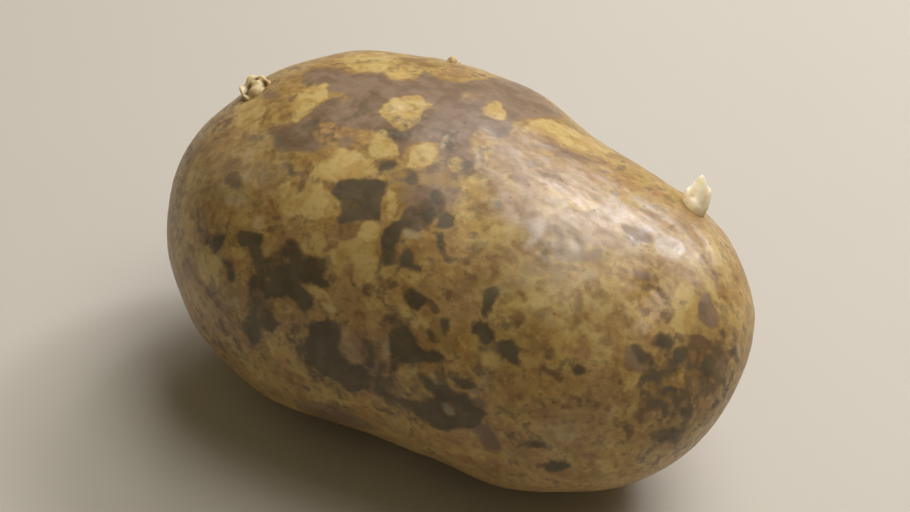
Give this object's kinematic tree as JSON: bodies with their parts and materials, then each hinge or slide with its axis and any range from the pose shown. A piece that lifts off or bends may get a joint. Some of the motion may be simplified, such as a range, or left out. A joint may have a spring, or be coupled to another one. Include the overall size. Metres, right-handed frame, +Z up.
{
  "type": "potato",
  "caption": "Long oval potato lying on a small flat spot of its belly, with shallow eyes, one pointed sprout, one open bud rosette and one small round bud.",
  "frame": {"origin": "on the surface that the potato lies on, under the middle of its bounding box", "axes": "+X along the tuber towards its growing end, which carries the pointed sprout, +Z up from the resting spot, +Y across, towards the far side of the usual view"},
  "size_m": [0.1094, 0.0664, 0.0587],
  "materials": {
    "tuber": "smooth potato skin, tan yellow with brown and slate grey scurf patches, half glossy",
    "pointed_sprout": "pale cream sprout flesh, slightly glossy",
    "rosette_bud": "pale greenish beige bud scales, matt",
    "button_bud": "pale greenish beige bud scales, matt"
  },
  "bodies": {
    "root": {"tuber": "tuber", "pointed_sprout": "pointed_sprout", "rosette_bud": "rosette_bud", "button_bud": "button_bud"}
  },
  "joints": []
}
